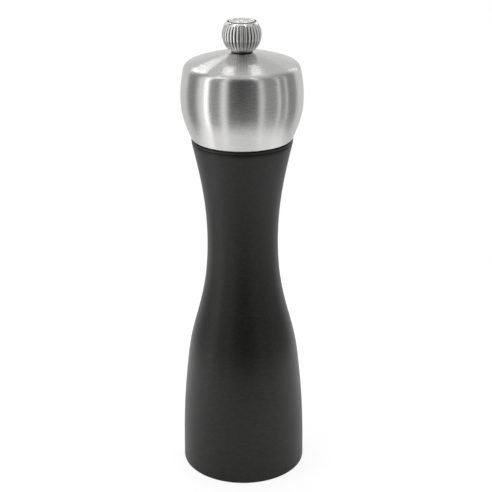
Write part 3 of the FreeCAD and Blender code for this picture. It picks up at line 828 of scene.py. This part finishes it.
def dress(nodes, material, bevel=0.0):
    """Gives CAD nodes a material, and softens their edges if a bevel width is given."""
    for name in nodes:
        obj = frame["nodes"][name]
        for entry in obj.material_slots:
            entry.link = "OBJECT"
            entry.material = material
        if bevel:
            rounding = obj.modifiers.new("edge", "BEVEL")
            rounding.width = bevel
            rounding.segments = 2
            rounding.limit_method = "ANGLE"
            rounding.angle_limit = math.radians(SHARP_ANGLE)


# ---- studio ----

CAMERA_PITCH = math.radians(22.0)
CAMERA_DISTANCE = 0.5475
CAMERA_TARGET = Vector((0.0014, 0.0, 0.10216))
CAMERA_ROLL = math.radians(-0.2)
CAMERA_LENS = 92.98

FLOOR_RADIUS = 0.22
# The floor lies just under the foot, so that the two faces don't fight.
FLOOR_DROP = 0.05 * MM
# Its glow grows from the mill outwards, between two radii.
FLOOR_GLOW_START = 0.06
FLOOR_GLOW_END = 0.13
FLOOR_GLOW_NEAR = 0.3
FLOOR_GLOW_FAR = 0.7
# The share of plain white that the camera sees, and how bright that white is.
FLOOR_WASH = 0.75
FLOOR_WASH_BRIGHTNESS = 1.05

LIGHT_AIM = Vector((0.0, 0.0, 0.17))
LIGHT_DISTANCE = 1.2
# Soft boxes: name, azimuth, elevation, (width, height) and radiance.
SOFT_BOXES = [
    ("left_box", -150, 38, (0.09, 0.35), 9.0),
    ("middle_box", -171, 50, (0.035, 0.3), 6.0),
    ("right_box", 169, 53, (0.05, 0.3), 4.5),
    ("edge_box", 143, 24, (0.1, 0.5), 1.8),
    ("left_strip", -68, 62, (0.07, 0.45), 5.0),
    ("right_strip", 37, 62, (0.06, 0.45), 3.0),
]

# The studio's wall: (degrees from the camera's side, brightness), dark in front and white behind.
STUDIO_WALL = [
    (0, 0.06),
    (25, 0.14),
    (42, 0.36),
    (116, 0.33),
    (128, 0.85),
    (165, 0.75),
    (180, 0.9),
]
# Strips of light before the wall: (azimuth, half width, brightness). Right is positive.
STUDIO_STRIPS = [
    (-82, 17, 0.85),
    (-70, 7, 2.2),
    (-34, 11, 0.95),
    (37, 9, 0.6),
    (73, 5, 0.8),
    (91, 5, 0.65),
]
CEILING_BRIGHTNESS = 0.8
CEILING_START = math.radians(52.0)
CEILING_FULL = math.radians(64.0)


def camera():
    data = bpy.data.cameras.new("camera")
    data.lens = CAMERA_LENS
    data.sensor_width = 36.0
    data.clip_start = 0.01
    data.clip_end = 20.0
    obj = bpy.data.objects.new("camera", data)
    back = Vector((0.0, -math.cos(CAMERA_PITCH), math.sin(CAMERA_PITCH)))
    obj.location = CAMERA_TARGET + back * CAMERA_DISTANCE
    turn = (-back).to_track_quat("-Z", "Y").to_matrix()
    obj.rotation_euler = (turn @ Matrix.Rotation(CAMERA_ROLL, 3, "Z")).to_euler()
    bpy.context.scene.collection.objects.link(obj)
    bpy.context.scene.camera = obj


def soft_box(name, azimuth, elevation, size, radiance):
    """A soft box that faces the mill. Azimuth 0 is the camera's side, and grows to the right."""
    data = bpy.data.lights.new(name, "AREA")
    data.shape = "RECTANGLE"
    data.size, data.size_y = size
    data.energy = radiance * math.pi * size[0] * size[1]
    obj = bpy.data.objects.new(name, data)
    around = math.radians(azimuth)
    up = math.radians(elevation)
    away = Vector((math.cos(up) * math.sin(around), -math.cos(up) * math.cos(around), math.sin(up)))
    obj.location = LIGHT_AIM + away * LIGHT_DISTANCE
    aim = LIGHT_AIM - obj.location
    obj.rotation_euler = aim.to_track_quat("-Z", "Y").to_euler()
    bpy.context.scene.collection.objects.link(obj)


def floor():
    """A plain round sheet of white paper. The camera sees it nearly shadowless, as if lit from below."""
    bm = bmesh.new()
    bmesh.ops.create_circle(bm, cap_ends=True, radius=FLOOR_RADIUS, segments=128)
    bmesh.ops.translate(bm, verts=bm.verts, vec=(0.0, 0.0, -FLOOR_DROP))
    obj = finish_mesh("floor", bm)
    s = Shader("floor_paper")
    tone = s.noise(s.position(), 30.0, 2.0)
    glow = s.remap(
        s.length(s.position()), FLOOR_GLOW_START, FLOOR_GLOW_END, FLOOR_GLOW_NEAR, FLOOR_GLOW_FAR
    )
    s.set(
        Base_Color=s.ramp(tone, [(NOISE_LOW, (0.90, 0.90, 0.90)), (NOISE_HIGH, (0.92, 0.92, 0.92))]),
        Roughness=0.9,
        Emission_Color=(1.0, 1.0, 1.0, 1.0),
        Emission_Strength=glow,
    )
    white = s.node("ShaderNodeEmission", {"Strength": FLOOR_WASH_BRIGHTNESS}).outputs[0]
    wash = s.math("MULTIPLY", s.seen_by_camera(), FLOOR_WASH)
    mixed = s.node("ShaderNodeMixShader", {0: wash, 1: s.bsdf.outputs[0], 2: white}).outputs[0]
    s.feed(s.tree.nodes["Material Output"].inputs["Surface"], mixed)
    obj.data.materials.append(s.material)


def studio_brightness(azimuth):
    """How bright the studio is at an azimuth: its wall and the soft strips before it."""
    brightness = float(np.interp(abs(azimuth), *zip(*STUDIO_WALL)))
    for centre, reach, glow in STUDIO_STRIPS:
        brightness += glow * max(1 - abs(azimuth - centre) / reach, 0)
    return brightness


def world():
    """A white studio with a dark front and strips of light. The camera sees plain white."""
    data = bpy.data.worlds.new("studio")
    data.use_nodes = True
    s = NodeTree(data.node_tree)
    azimuths = {side * azimuth for azimuth, _ in STUDIO_WALL for side in (-1, 1)}
    for centre, reach, _ in STUDIO_STRIPS:
        azimuths |= {centre - reach, centre, centre + reach}
    brightest = max(studio_brightness(azimuth) for azimuth in azimuths)
    stops = []
    for azimuth in sorted(azimuths):
        stops.append(((azimuth + 180) / 360, (studio_brightness(azimuth) / brightest,) * 3))
    x, y, z = s.split(s.node("ShaderNodeTexCoord").outputs["Generated"])
    around = s.math("ARCTAN2", x, s.math("MULTIPLY", y, -1.0))
    wall = s.ramp(s.remap(around, -math.pi, math.pi, 0.0, 1.0), stops)
    above = s.remap(
        z,
        math.sin(CEILING_START),
        math.sin(CEILING_FULL),
        0.0,
        1.0,
        interpolation_type="SMOOTHSTEP",
    )
    ceiling = (CEILING_BRIGHTNESS / brightest,) * 3 + (1.0,)
    surround = s.tree.nodes["Background"]
    s.feed(surround.inputs["Color"], s.mix(above, wall, ceiling))
    s.feed(surround.inputs["Strength"], brightest)
    white = s.node("ShaderNodeBackground", {"Color": (1.0, 1.0, 1.0, 1.0)}).outputs[0]
    chosen = s.node(
        "ShaderNodeMixShader", {0: s.seen_by_camera(), 1: surround.outputs[0], 2: white}
    ).outputs[0]
    s.feed(s.tree.nodes["World Output"].inputs["Surface"], chosen)
    bpy.context.scene.world = data


def studio():
    floor()
    world()
    camera()
    for settings in SOFT_BOXES:
        soft_box(*settings)
    bpy.context.scene.view_settings.view_transform = "Standard"


# ---- the mill ----

black_plastic = plastic("black_plastic", (0.011, 0.011, 0.011), roughness=0.42)
core_plastic = plastic("core_plastic", (0.02, 0.02, 0.021), roughness=0.5)
acetal = plastic("acetal", (0.62, 0.60, 0.55), roughness=0.4)
head_steel = brushed_steel(
    "head_steel",
    (0.62, 0.615, 0.61),
    roughness=0.26,
    anisotropy=0.96,
    lines=5200.0,
    depth=0.002 * MM,
    spread=0.025,
)
knob_steel = reeded_steel()
cap_steel = brushed_steel(
    "cap_steel",
    (0.72, 0.72, 0.715),
    roughness=0.2,
    anisotropy=0.3,
    lines=2600.0,
    depth=0.002 * MM,
    spread=0.03,
    # Past this radius the cap's edge is painted near black, as shade in the gap round it.
    edge=CAP_RADIUS - 0.12 * MM,
)
plate_steel = brushed_steel(
    "plate_steel",
    (0.58, 0.58, 0.57),
    roughness=0.32,
    anisotropy=0.5,
    lines=1800.0,
    depth=0.004 * MM,
    spread=0.05,
)
washer_steel = grained_metal("washer_steel", (0.55, 0.55, 0.54), roughness=0.32)
screw_steel = grained_metal("screw_steel", (0.52, 0.53, 0.54), roughness=0.3)
shaft_steel = grained_metal("shaft_steel", (0.55, 0.55, 0.545), roughness=0.3, scale=1400.0)
spring_steel = grained_metal("spring_wire", (0.42, 0.42, 0.42), roughness=0.3, scale=1200.0)
burr_steel = grained_metal(
    "burr_steel", (0.26, 0.25, 0.24), roughness=0.38, scale=700.0, depth=0.01 * MM
)
brass = grained_metal("turned_brass", (0.62, 0.43, 0.19), roughness=0.28, scale=1200.0)

body()
neck_ring(black_plastic)
head_shell(head_steel)
knob(knob_steel)
knob_cap(cap_steel)
knob_collar(black_plastic)
drive_shaft(shaft_steel)
spring(spring_steel)
dress(["burr_housing", "head_core"], core_plastic, 0.2 * MM)
dress(["shaft_bush"], acetal, 0.2 * MM)
dress(["burr_ring", "grinding_cone"], burr_steel)
dress(["base_plate", "drive_plate"], plate_steel, 0.1 * MM)
dress(["base_screws", "drive_plate_screws"], screw_steel, 0.08 * MM)
dress(["thrust_washer", "spring_seat", "cone_washer", "crown_washer"], washer_steel, 0.1 * MM)
dress(["cone_clip"], spring_steel, 0.05 * MM)
dress(["knob_insert"], brass, 0.1 * MM)
studio()
